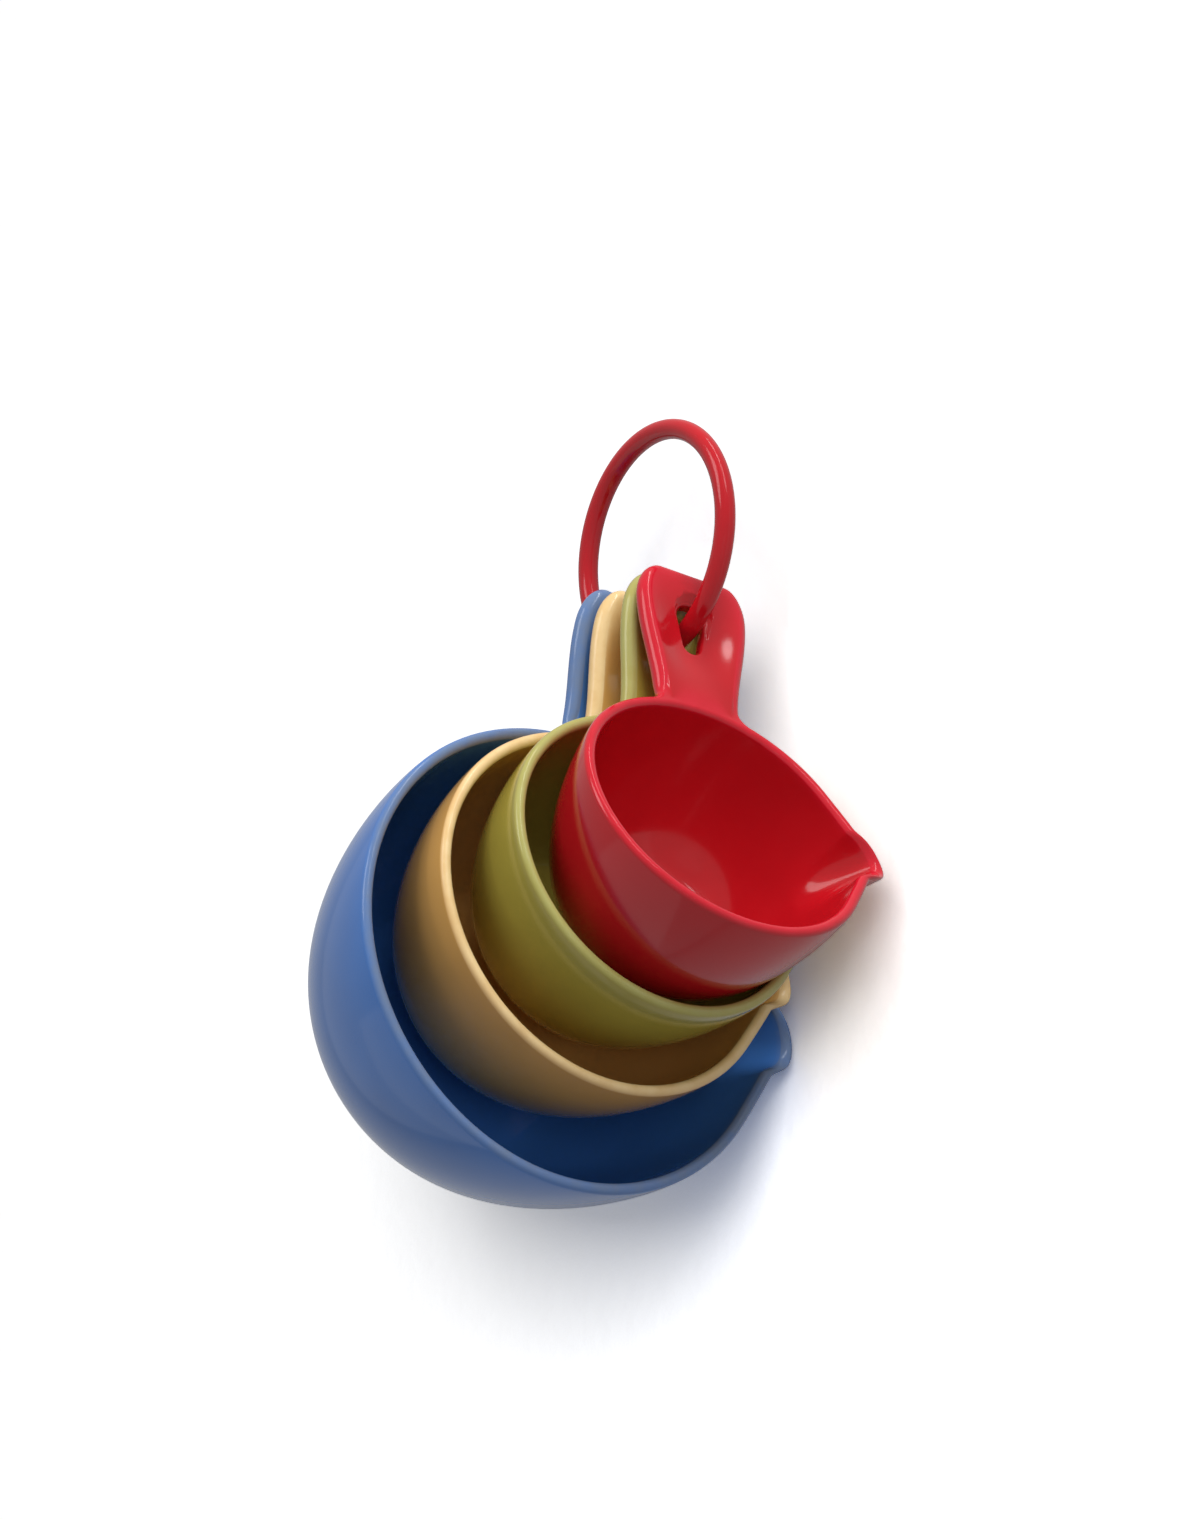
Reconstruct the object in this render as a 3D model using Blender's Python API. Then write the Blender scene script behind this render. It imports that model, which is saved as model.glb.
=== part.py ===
"""Four nesting measuring cups threaded on one hanging ring, modelled for Blender 4.5.

Each cup is a single moulded shell: bowl, pour spout, rounded lip and dished handle run into one another as
one skin. The ring passes through the teardrop hole of every handle, so the cups swing along it one by one.

Sizes are millimetres and angles degrees. The origin is the point inside the top of the ring by which it
hangs, +Z is up, the ring lies in the XZ plane and the mouths of the cups look towards +X.
"""

import math
from dataclasses import dataclass

import bmesh
import bpy
import numpy as np
from mathutils import Matrix, Vector

MM = 0.001

# Ring.
RING_OUTER_DIAMETER = 51.6
RING_WIRE_DIAMETER = 4.2
RING_SPLIT_GAP = 0.4  # the ring springs open here, to take the cups on and off

# Shell, shared by all cups.
WALL = 2.3
BASE_THICKNESS = 3.0
SPOUT_DEPTH = 17.0  # below the rim, where the spout has run into the wall
SPOUT_DROOP = 2.2  # of the tip of the spout below the rim
SPOUT_FLANK = 0.55  # share of the reach that the straight flanks make, before the beak
SPOUT_BLUNT = 0.2  # how far the flanks are rounded where they meet, as a share of their angle
BOWL_TAPER = 1.2  # 1 makes the wall a quarter ellipse, more makes it straighter

# Handle, shared by all cups. Lengths along it run from the rim.
HANDLE_LENGTH = 32.8
HANDLE_RISE = 13.0  # slope of the handle above the plane of the rim
HANDLE_NECK_WIDTH = 18.8
HANDLE_WIDTH = 25.0  # at its widest
HANDLE_EAR_LENGTH = 8.5  # of the rounding of each outer corner, along the handle
HANDLE_EAR_WIDTH = 5.0  # of the same rounding, across it
HANDLE_ROOT_RADIUS = 3.0  # fillet between the neck and the rim, seen from above
HANDLE_EDGE_DEPTH = 4.2  # of the rounded edge all round
HANDLE_WEB = 2.8  # thickness in the middle
HANDLE_DISH = 2.4  # depth of the hollow in the front face

# Teardrop hole in the handle: round at the outer end, narrow towards the bowl.
HOLE_WIRE_SLACK = 1.0  # of the round end over the wire, in radius
HOLE_TIP_RADIUS = 2.0
HOLE_LENGTH = 11.8
HOLE_END_FROM_RIM = 25.4  # outer end of the hole
HOLE_EDGE_RADIUS = 0.8

# Fineness of the meshes.
FILLET_STEPS, SIDE_STEPS, CORNER_STEPS, TOP_STEPS = 2, 4, 4, 2
PLAIN_STEPS, SPOUT_STEPS = 24, 10
INNER_ROWS, OUTER_ROWS, LIP_ROWS = 6, 7, 2
FRONT_ROWS, EDGE_ROWS, BACK_ROWS = 4, 5, 3
RING_STEPS, WIRE_STEPS, HOLE_STEPS = 48, 12, 8


@dataclass(frozen=True)
class Cup:
    """One cup: its own sizes, and how it hangs on the ring."""

    name: str
    colour: tuple
    rim_radius: float
    depth: float
    base_radius: float
    spout_reach: float  # beyond the rim
    spout_width: float  # of the beak, along the rim
    ring_angle: float  # of the wire in its handle, from straight below the ring's centre towards +X
    tilt: float  # of the mouth above level
    spin: float  # of the handle about the cup's own axis, towards +Y
    wire_seat: float  # distance of the wire from the rim, along the handle


BLUE = Cup("blue_cup", (0.08, 0.17, 0.42), 48.3, 49.4, 26.6, 9.0, 16.0, -23.4, 18.8, 15.5, 22.0)
YELLOW = Cup("yellow_cup", (0.72, 0.44, 0.12), 38.6, 41.4, 21.2, 9.0, 14.0, -6.1, 22.1, 15.6, 21.0)
GREEN = Cup("green_cup", (0.36, 0.40, 0.10), 33.2, 36.4, 18.3, 7.6, 13.0, 18.0, 27.0, 14.4, 18.95)
RED = Cup("red_cup", (0.68, 0.02, 0.04), 30.6, 33.8, 16.9, 9.2, 13.0, 34.9, 39.6, 11.1, 20.4)
CUPS = (BLUE, YELLOW, GREEN, RED)

# Worked out from the sizes above.
WIRE_RADIUS = RING_WIRE_DIAMETER / 2
RING_RADIUS = RING_OUTER_DIAMETER / 2 - WIRE_RADIUS
RING_CENTRE = np.array([0.0, 0.0, -(RING_RADIUS - WIRE_RADIUS)])
LIP = WALL / 2
EDGE = HANDLE_EDGE_DEPTH / 2
RISE = math.radians(HANDLE_RISE)
HOLE_END_RADIUS = WIRE_RADIUS + HOLE_WIRE_SLACK
UNDERSIDE = HANDLE_EDGE_DEPTH + LIP * 2  # depth below the rim where the underside has run into the wall


def smooth(value, low, high):
    """Eases from 0 at low to 1 at high."""
    step = np.clip((value - low) / (high - low), 0.0, 1.0)
    return step * step * (3.0 - 2.0 * step)


def clear_scene():
    """Removes the objects of the scene that the script starts from."""
    for obj in list(bpy.data.objects):
        bpy.data.objects.remove(obj, do_unlink=True)


def plastic(name, colour):
    """Glossy moulded plastic in one colour."""
    material = bpy.data.materials.new(name)
    material.use_nodes = True
    shader = material.node_tree.nodes["Principled BSDF"]
    shader.inputs["Base Color"].default_value = (*colour, 1.0)
    shader.inputs["Roughness"].default_value = 0.18
    shader.inputs["Metallic"].default_value = 0.0
    return material


def wall_rows(rim_radius, depth, base_radius, top, rows):
    """Radius and height of the rows of one wall, from its top down to the edge of its base."""
    turn = np.linspace(0.0, math.pi / 2, rows)
    radius = base_radius + (rim_radius - base_radius) * np.cos(turn) ** BOWL_TAPER
    height = top - (depth + top) * np.sin(turn) ** BOWL_TAPER
    radius[-1] = base_radius
    return radius, height


def handle_half_width(cup, x):
    """Half the width of the handle between its root and its rounded corners."""
    corner = cup.rim_radius + (HANDLE_LENGTH - HANDLE_EAR_LENGTH) * math.cos(RISE)
    return (HANDLE_NECK_WIDTH + (HANDLE_WIDTH - HANDLE_NECK_WIDTH) * smooth(x, cup.rim_radius, corner)) / 2


def handle_outline(cup):
    """Plan of the handle's edge from its root at the rim to the middle of its end, on the +Y half.

    Returns the points and their outward directions, as arrays of two columns.
    """
    root_y = HANDLE_NECK_WIDTH / 2 + HANDLE_ROOT_RADIUS
    root_x = math.sqrt((cup.rim_radius + HANDLE_ROOT_RADIUS) ** 2 - root_y**2)
    root_turn = math.atan2(root_y, root_x)
    ear_x = HANDLE_EAR_LENGTH * math.cos(RISE)
    corner_x = cup.rim_radius + HANDLE_LENGTH * math.cos(RISE) - ear_x
    corner_y = HANDLE_WIDTH / 2 - HANDLE_EAR_WIDTH

    turn = np.linspace(root_turn, math.pi / 2, FILLET_STEPS + 1)
    fillet = np.c_[root_x - HANDLE_ROOT_RADIUS * np.cos(turn), root_y - HANDLE_ROOT_RADIUS * np.sin(turn)]
    side_x = np.linspace(root_x, corner_x, SIDE_STEPS + 1)[1:]
    side = np.c_[side_x, handle_half_width(cup, side_x)]
    turn = np.linspace(0.0, math.pi / 2, CORNER_STEPS + 1)[1:]
    corner = np.c_[corner_x + ear_x * np.sin(turn), corner_y + HANDLE_EAR_WIDTH * np.cos(turn)]
    top_y = np.linspace(corner_y, 0.0, TOP_STEPS + 1)[1:]
    top = np.c_[np.full(TOP_STEPS, corner[-1, 0]), top_y]
    points = np.vstack([fillet, side, corner, top])

    along = np.gradient(points, axis=0)
    outward = np.c_[-along[:, 1], along[:, 0]]
    outward /= np.linalg.norm(outward, axis=1)[:, None]
    outward[0] = points[0] / cup.rim_radius
    outward[-1] = (1.0, 0.0)
    return points, outward


def handle_hollow(cup, x, y):
    """Share of the full dish at a point of the handle: 1 in the hollow, 0 along the rounded edge."""
    middle = HANDLE_LENGTH / 2
    along = (x - cup.rim_radius) / math.cos(RISE)
    across = np.clip(np.abs(y) / (handle_half_width(cup, x) - EDGE), 0.0, 1.0)
    outer = np.clip((along - middle) / (HANDLE_LENGTH - EDGE - middle), 0.0, 1.0)
    return (np.cos(across * math.pi / 2) * np.cos(outer * math.pi / 2)) ** 2 * smooth(along, 0.0, middle)


def handle_slope(cup, x):
    """Height of the sloping plane that carries the handle's edge."""
    return np.clip(x - cup.rim_radius + LIP, 0.0, None) * math.tan(RISE)


def columns(cup):
    """Angle, edge point and edge direction of every column of the skin, once round the rim."""
    points, outward = handle_outline(cup)
    mirror = np.array([1.0, -1.0])
    length = np.r_[0.0, np.cumsum(np.linalg.norm(np.diff(points, axis=0), axis=1))]
    root = math.atan2(points[0, 1], points[0, 0])
    neck = math.asin((HANDLE_NECK_WIDTH / 2 - EDGE) / cup.rim_radius)
    turn = np.interp(length, [0.0, length[FILLET_STEPS], length[-1]], [root, neck, 0.0])
    handle_turn = np.r_[-turn[:-1], turn[::-1]]
    handle_points = np.vstack([points[:-1] * mirror, points[::-1]])
    handle_outward = np.vstack([outward[:-1] * mirror, outward[::-1]])

    spout = 1.5 * math.pi
    half = math.asin(cup.spout_width / 2 / cup.rim_radius)
    before = np.linspace(root, spout - half, PLAIN_STEPS * 3 // 4 + 1)[1:]
    within = np.linspace(spout - half, spout + half, SPOUT_STEPS + 1)[1:]
    after = np.linspace(spout + half, 2.0 * math.pi - root, PLAIN_STEPS // 4 + 1)[1:-1]
    bowl_turn = np.r_[before, within, after]
    bowl_outward = np.c_[np.cos(bowl_turn), np.sin(bowl_turn)]
    return (
        np.r_[handle_turn, bowl_turn],
        np.vstack([handle_points, bowl_outward * cup.rim_radius]),
        np.vstack([handle_outward, bowl_outward]),
    )


def spout_shift(cup, x, y, z):
    """How far the spout pushes each point of the bowl out from the axis, and how far it bends it down.

    Its flanks leave the rim along tangents, and a narrow beak with a drooping lip stands out between them.
    """
    off = np.abs(np.arctan2(-x, -y))
    flank_reach = cup.spout_reach * SPOUT_FLANK
    flank = math.acos(cup.rim_radius / (cup.rim_radius + flank_reach))
    blunt = np.hypot(off, SPOUT_BLUNT * flank)
    flanks = cup.rim_radius / np.cos(np.clip(flank - blunt, 0.0, None)) - cup.rim_radius
    half = math.asin(cup.spout_width / 2 / cup.rim_radius)
    bell = (1.0 - np.clip(off / half, 0.0, 1.0) ** 2.4) ** 1.8
    fade = np.clip(1.0 + z / SPOUT_DEPTH, 0.0, 1.0)
    push = flanks + (cup.spout_reach - flank_reach) * bell
    return push * fade**1.5, SPOUT_DROOP * bell**2 * fade


def cup_skin(cup):
    """Rows of points over the whole skin, from the middle of the bowl over the lip to the underside of the base.

    Returns an array of rows by columns by 3, in the cup's own frame: rim in the XY plane, mouth towards +Z,
    handle along +X and spout towards -Y.
    """
    turn, edge, outward = columns(cup)
    radial = np.c_[np.cos(turn), np.sin(turn)]
    rim = radial * cup.rim_radius
    reach = np.linalg.norm(edge - rim, axis=1)
    grown = smooth(reach, 0.0, 2.0 * HANDLE_ROOT_RADIUS)
    bead = LIP + (EDGE - LIP) * grown
    rows = []

    def add(plan, height):
        rows.append(np.c_[plan, np.broadcast_to(height, len(turn))])

    inner_radius, inner_height = wall_rows(
        cup.rim_radius - WALL, cup.depth - BASE_THICKNESS, cup.base_radius - WALL / 2, -LIP, INNER_ROWS + 1
    )
    for radius, height in zip(inner_radius[::-1], inner_height[::-1]):
        add(radial * radius, height)
    for step in range(1, LIP_ROWS + 1):
        angle = math.pi - math.pi / 2 * step / LIP_ROWS
        add(radial * (cup.rim_radius - LIP + LIP * math.cos(angle)), LIP * math.sin(angle) - LIP)

    # The front of the handle starts at the top of the lip. Away from the handle these rows fall together.
    lip_top = radial * (cup.rim_radius - LIP)
    ridge = edge - outward * bead[:, None]
    for step in range(1, FRONT_ROWS + 1):
        plan = lip_top + (ridge - lip_top) * step / FRONT_ROWS
        hollow = handle_hollow(cup, plan[:, 0], plan[:, 1])
        add(plan, (handle_slope(cup, plan[:, 0]) - HANDLE_DISH * hollow) * grown)

    # The rounded edge: a quarter turn on the lip, a half turn round the handle.
    sweep = math.pi / 2 * (1.0 + grown)
    centre_height = rows[-1][:, 2] - bead
    for step in range(1, EDGE_ROWS + 1):
        angle = math.pi / 2 - sweep * step / EDGE_ROWS
        plan = ridge + outward * (bead * np.cos(angle))[:, None]
        add(plan, centre_height + bead * np.sin(angle))

    # The back of the handle runs in to the wall, and the plain lip runs down it.
    outer_radius, outer_height = wall_rows(cup.rim_radius, cup.depth, cup.base_radius, -LIP, 40)
    wall_radius = np.interp(UNDERSIDE, -outer_height, outer_radius)
    under = radial * wall_radius
    start = rows[-1]
    for step in range(1, BACK_ROWS + 1):
        share = step / BACK_ROWS
        plan = start[:, :2] + (under - start[:, :2]) * share
        hollow = handle_hollow(cup, plan[:, 0], plan[:, 1])
        belly = HANDLE_DISH + HANDLE_WEB - HANDLE_EDGE_DEPTH
        handle_back = handle_slope(cup, plan[:, 0]) - HANDLE_EDGE_DEPTH - belly * hollow
        handle_back = handle_back + (-UNDERSIDE - handle_back) * share**3
        wall_back = start[:, 2] + (-UNDERSIDE - start[:, 2]) * share
        add(plan, wall_back + (handle_back - wall_back) * grown)

    outer_radius, outer_height = wall_rows(cup.rim_radius, cup.depth, cup.base_radius, -LIP, OUTER_ROWS + 3)
    for radius, height in zip(outer_radius, outer_height):
        if height < -UNDERSIDE - WALL:
            add(radial * radius, height)

    skin = np.array(rows)
    x, y, z = skin[..., 0], skin[..., 1], skin[..., 2]
    push, droop = spout_shift(cup, x, y, z)
    share = push / np.maximum(np.hypot(x, y), 1.0)
    skin[..., 0] += x * share
    skin[..., 1] += y * share
    skin[..., 2] -= droop
    return skin


def skin_object(name, skin, material):
    """A closed mesh from the rows of a skin, with its first and last row filled."""
    count, around = skin.shape[:2]
    mesh = bmesh.new()
    points = [mesh.verts.new(point * MM) for point in skin.reshape(-1, 3)]
    for row in range(count - 1):
        for column in range(around):
            after = (column + 1) % around
            low, high = row * around, (row + 1) * around
            mesh.faces.new([points[low + column], points[low + after], points[high + after], points[high + column]])
    mesh.faces.new(points[:around][::-1])
    mesh.faces.new(points[-around:])
    bmesh.ops.remove_doubles(mesh, verts=mesh.verts, dist=0.02 * MM)
    bmesh.ops.recalc_face_normals(mesh, faces=mesh.faces)
    return mesh_object(name, mesh, material)


def mesh_object(name, mesh, material=None):
    """Links a bmesh into the scene as an object."""
    data = bpy.data.meshes.new(name)
    mesh.to_mesh(data)
    mesh.free()
    obj = bpy.data.objects.new(name, data)
    bpy.context.scene.collection.objects.link(obj)
    if material:
        data.materials.append(material)
    return obj


def teardrop(grow):
    """Outline of the handle's hole, larger all round by grow: distance along the handle, and across it."""
    end = HOLE_END_FROM_RIM - HOLE_END_RADIUS
    tip = HOLE_END_FROM_RIM - HOLE_LENGTH + HOLE_TIP_RADIUS
    lean = math.asin((HOLE_END_RADIUS - HOLE_TIP_RADIUS) / (end - tip))
    wide = np.linspace(-math.pi / 2 - lean, math.pi / 2 + lean, HOLE_STEPS)
    slim = np.linspace(math.pi / 2 + lean, 1.5 * math.pi - lean, HOLE_STEPS // 2 + 1)
    along = np.r_[end + (HOLE_END_RADIUS + grow) * np.cos(wide), tip + (HOLE_TIP_RADIUS + grow) * np.cos(slim)]
    across = np.r_[(HOLE_END_RADIUS + grow) * np.sin(wide), (HOLE_TIP_RADIUS + grow) * np.sin(slim)]
    return along, across


def hole_cutter(cup):
    """The solid that cuts the hole, flared at both faces of the handle so that the edges come out rounded."""
    middle = HOLE_END_FROM_RIM - HOLE_LENGTH / 2
    hollow = handle_hollow(cup, np.array([cup.rim_radius + middle * math.cos(RISE)]), np.zeros(1))[0]
    front = LIP * math.sin(RISE) - HANDLE_DISH * hollow * math.cos(RISE)
    back = front - HANDLE_WEB
    quarter = np.radians([0.0, 45.0, 90.0])
    flare = HOLE_EDGE_RADIUS * (1.0 - np.cos(quarter))
    inside = HOLE_EDGE_RADIUS * np.sin(quarter)
    level = np.r_[back - EDGE, back + HOLE_EDGE_RADIUS - inside[::-1]]
    level = np.r_[level, front - HOLE_EDGE_RADIUS + inside, front + EDGE]
    grow = np.r_[HOLE_EDGE_RADIUS + EDGE / 2, flare[::-1], flare, HOLE_EDGE_RADIUS + EDGE / 2]
    rows = []
    for height, more in zip(level, grow):
        along, across = teardrop(more)
        x = cup.rim_radius + along * math.cos(RISE) - height * math.sin(RISE)
        z = along * math.sin(RISE) + height * math.cos(RISE)
        rows.append(np.c_[x, across, z])
    cutter = skin_object(cup.name + "_hole_cutter", np.array(rows), None)
    cutter.hide_render = True
    cutter.display_type = "WIRE"
    return cutter


def wire_point(cup):
    """The point of the handle, in the cup's own frame, that the middle of the wire passes through."""
    middle = HOLE_END_FROM_RIM - HOLE_LENGTH / 2
    hollow = handle_hollow(cup, np.array([cup.rim_radius + middle * math.cos(RISE)]), np.zeros(1))[0]
    height = -HANDLE_DISH * hollow - HANDLE_WEB / 2
    x = cup.rim_radius + cup.wire_seat * math.cos(RISE) - height * math.sin(RISE)
    return np.array([x, 0.0, cup.wire_seat * math.sin(RISE) + height * math.cos(RISE)])


def cup_pose(cup):
    """Turn and place of a cup in the set: its wire point lies on the middle line of the ring's wire."""
    tilt, spin, angle = (math.radians(value) for value in (cup.tilt, cup.spin, cup.ring_angle))
    mouth = np.array([math.cos(tilt), 0.0, math.sin(tilt)])
    upward = np.array([-math.sin(tilt), 0.0, math.cos(tilt)])
    sideways = np.array([0.0, 1.0, 0.0])
    handle = math.cos(spin) * upward + math.sin(spin) * sideways
    turn = np.c_[handle, np.cross(mouth, handle), mouth]
    on_wire = RING_CENTRE + RING_RADIUS * np.array([math.sin(angle), 0.0, -math.cos(angle)])
    return turn, on_wire - turn @ wire_point(cup)


def place(obj, turn, at):
    """Puts an object at a place given in millimetres."""
    matrix = Matrix([Vector(row) for row in turn]).to_4x4()
    matrix.translation = Vector(at) * MM
    obj.matrix_world = matrix


def build_cup(cup):
    """One cup: the skin, less the hole in its handle."""
    obj = skin_object(cup.name, cup_skin(cup), plastic(cup.name, cup.colour))
    cutter = hole_cutter(cup)
    turn, at = cup_pose(cup)
    place(obj, turn, at)
    place(cutter, turn, at)
    cut = obj.modifiers.new("handle_hole", "BOOLEAN")
    cut.operation = "DIFFERENCE"
    cut.solver = "EXACT"
    cut.object = cutter
    return obj


def build_ring():
    """The split ring: a round wire swept about the Y axis, open between the two largest cups."""
    split = math.radians((BLUE.ring_angle + YELLOW.ring_angle) / 2)
    half_gap = RING_SPLIT_GAP / 2 / RING_RADIUS
    turn = np.linspace(split + half_gap, split + 2.0 * math.pi - half_gap, RING_STEPS + 1)
    wire = np.linspace(0.0, 2.0 * math.pi, WIRE_STEPS, endpoint=False)
    radius = RING_RADIUS + WIRE_RADIUS * np.cos(wire)
    rows = np.stack(
        [
            np.outer(np.sin(turn), radius),
            np.broadcast_to(WIRE_RADIUS * np.sin(wire), (len(turn), WIRE_STEPS)),
            -np.outer(np.cos(turn), radius),
        ],
        axis=-1,
    )
    return skin_object("hanging_ring", rows + RING_CENTRE, plastic("hanging_ring", RED.colour))


def main():
    """Builds the ring and the four cups in place."""
    clear_scene()
    build_ring()
    for cup in CUPS:
        build_cup(cup)


if __name__ == "__main__":
    main()
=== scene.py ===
"""Looks for a set of nesting measuring cups that hangs on a ring.

Every cup is rebuilt as one fine moulded shell from the same formulas and sizes as its solid, so that bowl,
spout, lip and dished handle run into one another, and gets a glossy moulded finish. Lengths are millimetres
and angles degrees until a mesh is made. The origin is the point inside the top of the ring by which it hangs.
"""

from __future__ import annotations

import logging
import math
from dataclasses import dataclass, field
from enum import Enum

import bmesh
import bpy
import numpy as np
from mathutils import Euler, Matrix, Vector

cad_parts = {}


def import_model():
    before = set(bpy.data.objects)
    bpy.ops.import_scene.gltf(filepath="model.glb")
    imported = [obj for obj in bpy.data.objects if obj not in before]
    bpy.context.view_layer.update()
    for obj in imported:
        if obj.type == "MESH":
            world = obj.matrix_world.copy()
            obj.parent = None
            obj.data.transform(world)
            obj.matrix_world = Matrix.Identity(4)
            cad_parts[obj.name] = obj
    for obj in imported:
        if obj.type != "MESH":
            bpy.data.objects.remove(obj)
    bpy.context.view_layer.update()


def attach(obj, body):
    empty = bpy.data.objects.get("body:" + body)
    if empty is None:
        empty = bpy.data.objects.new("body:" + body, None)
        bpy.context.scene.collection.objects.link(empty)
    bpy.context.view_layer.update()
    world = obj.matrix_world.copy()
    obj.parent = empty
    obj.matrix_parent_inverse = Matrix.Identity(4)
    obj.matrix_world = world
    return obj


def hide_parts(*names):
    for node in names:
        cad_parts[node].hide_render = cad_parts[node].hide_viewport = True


MM = 0.001
MERGE_DISTANCE = 0.006
SLIVER_LENGTH = 0.002
# Mesh layer with the share of painted sheen at each point: lips and edges are painted paler, as if they
# caught the light.
EDGE_LAYER = "painted_edge_sheen"
NumberInput = bpy.types.NodeSocket | float
ColourInput = bpy.types.NodeSocket | tuple[float, float, float, float]
log = logging.getLogger("measuring_cups")


class Body(Enum):
    """The moving bodies of the set."""

    RING = "ring"
    BLUE = "blue"
    YELLOW = "yellow"
    GREEN = "green"
    RED = "red"


def ease(value: np.ndarray, low: float, high: float) -> np.ndarray:
    """Eases from 0 at low to 1 at high, as three squares less two cubes."""
    step = np.clip((value - low) / (high - low), 0.0, 1.0)
    return step * step * (3.0 - 2.0 * step)


def link_mesh(name: str, mesh: bpy.types.Mesh) -> bpy.types.Object:
    """Puts a mesh into the scene as an object at the origin.

    Args:
        name: Name of the object.
        mesh: The mesh, in its place.

    Returns:
        The object.
    """
    obj = bpy.data.objects.new(name, mesh)
    bpy.context.scene.collection.objects.link(obj)
    return obj


def grid_mesh(name: str, rows: np.ndarray, painted_sheen: np.ndarray | None = None) -> bpy.types.Mesh:
    """Makes a closed mesh from a grid whose columns go once round.

    The first and last rows are capped, points that fall together are merged, and normals point outwards.

    Args:
        name: Name of the mesh.
        rows: Points in millimetres, rows by columns by 3.
        painted_sheen: Share of painted sheen at each point, paler where lips and edges would catch the light,
            rows by columns, or None.

    Returns:
        The mesh, in metres, smooth shaded.
    """
    count, around = rows.shape[:2]
    index = np.arange(count * around).reshape(count, around)
    nearby = np.roll(index, -1, axis=1)
    quads = np.stack([index[:-1], nearby[:-1], nearby[1:], index[1:]], axis=-1).reshape(-1, 4)
    faces = [*quads.tolist(), index[0, ::-1].tolist(), index[-1].tolist()]
    mesh = bpy.data.meshes.new(name)
    mesh.from_pydata((rows.reshape(-1, 3) * MM).tolist(), [], faces)
    if painted_sheen is not None:
        # Painted sheen, kept on the points so the material can paint lips and edges paler.
        layer = mesh.attributes.new(EDGE_LAYER, "FLOAT", "POINT")
        layer.data.foreach_set("value", painted_sheen.astype(np.float32).ravel())
    shell = bmesh.new()
    shell.from_mesh(mesh)
    bmesh.ops.remove_doubles(shell, verts=shell.verts, dist=MERGE_DISTANCE * MM)
    bmesh.ops.dissolve_degenerate(shell, edges=shell.edges, dist=SLIVER_LENGTH * MM)
    bmesh.ops.recalc_face_normals(shell, faces=shell.faces)
    shell.to_mesh(mesh)
    shell.free()
    mesh.shade_smooth()
    return mesh


@dataclass(frozen=True)
class Fineness:
    """How many steps each stretch of a cup's shell is cut into."""

    fillet: int = 8
    side: int = 22
    corner: int = 18
    top: int = 8
    plain: int = 132
    spout: int = 48
    inner: int = 40
    outer: int = 44
    lip: int = 8
    front: int = 20
    edge: int = 16
    back: int = 16
    floor: int = 8
    hole: int = 48
    flare: int = 6
    trace: int = 240


@dataclass(frozen=True)
class Handle:
    """The dished handle that all the cups share. Lengths along it run from the rim."""

    length: float = 32.8
    rise: float = math.radians(13.0)
    neck_width: float = 18.8
    width: float = 25.0
    ear_length: float = 8.5
    ear_width: float = 5.0
    root_radius: float = 3.0
    edge_depth: float = 4.2
    web: float = 2.8
    dish: float = 2.4
    dish_flat: float = 2.5
    dish_steep: float = 1.5

    @property
    def edge(self) -> float:
        """Radius of the rounded edge."""
        return self.edge_depth / 2

    def half_width(self, rim_radius: float, x: np.ndarray) -> np.ndarray:
        """Half the width between root and corners, easing from the neck to the widest place."""
        corner = rim_radius + (self.length - self.ear_length) * math.cos(self.rise)
        return (self.neck_width + (self.width - self.neck_width) * ease(x, rim_radius, corner)) / 2

    def outline(self, rim_radius: float, fine: Fineness) -> tuple[np.ndarray, np.ndarray]:
        """Plan of the edge on the +Y half: fillet at the rim, widening side, elliptic corner, flat end.

        Args:
            rim_radius: Outer radius of the cup's rim.
            fine: Steps along each stretch.

        Returns:
            The points and their outward directions, two columns each.
        """
        root_y = self.neck_width / 2 + self.root_radius
        root_x = math.sqrt((rim_radius + self.root_radius) ** 2 - root_y**2)
        ear_x = self.ear_length * math.cos(self.rise)
        corner_x = rim_radius + self.length * math.cos(self.rise) - ear_x
        corner_y = self.width / 2 - self.ear_width
        turn = np.linspace(math.atan2(root_y, root_x), math.pi / 2, fine.fillet + 1)
        fillet = np.c_[root_x - self.root_radius * np.cos(turn), root_y - self.root_radius * np.sin(turn)]
        side_x = np.linspace(root_x, corner_x, fine.side + 1)[1:]
        side = np.c_[side_x, self.half_width(rim_radius, side_x)]
        turn = np.linspace(0.0, math.pi / 2, fine.corner + 1)[1:]
        corner = np.c_[corner_x + ear_x * np.sin(turn), corner_y + self.ear_width * np.cos(turn)]
        top_y = np.linspace(corner_y, 0.0, fine.top + 1)[1:]
        top = np.c_[np.full(fine.top, corner[-1, 0]), top_y]
        points = np.vstack([fillet, side, corner, top])
        along = np.gradient(points, axis=0)
        outward = np.c_[-along[:, 1], along[:, 0]]
        outward /= np.linalg.norm(outward, axis=1)[:, None]
        outward[0] = points[0] / rim_radius
        outward[-1] = (1.0, 0.0)
        return points, outward

    def hollow(self, rim_radius: float, x: np.ndarray, y: np.ndarray) -> np.ndarray:
        """Share of the full dish: flat across the middle, steep at the sides, easing in from the rim.

        Across, it is one less a power of the share of the half width, itself raised to a power. Towards the
        end it is a squared cosine.

        Args:
            rim_radius: Outer radius of the cup's rim.
            x: Distance of the points from the axis of the cup, along the handle.
            y: Distance of the points from the middle of the handle.

        Returns:
            The share at each point, from 0 to 1.
        """
        middle = self.length / 2
        along = (x - rim_radius) / math.cos(self.rise)
        across = np.clip(np.abs(y) / (self.half_width(rim_radius, x) - self.edge), 0.0, 1.0)
        outer = np.clip((along - middle) / (self.length - self.edge - middle), 0.0, 1.0)
        valley = (1.0 - across**self.dish_flat) ** self.dish_steep * np.cos(outer * math.pi / 2) ** 2
        return valley * ease(along, 0.0, middle)


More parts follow.
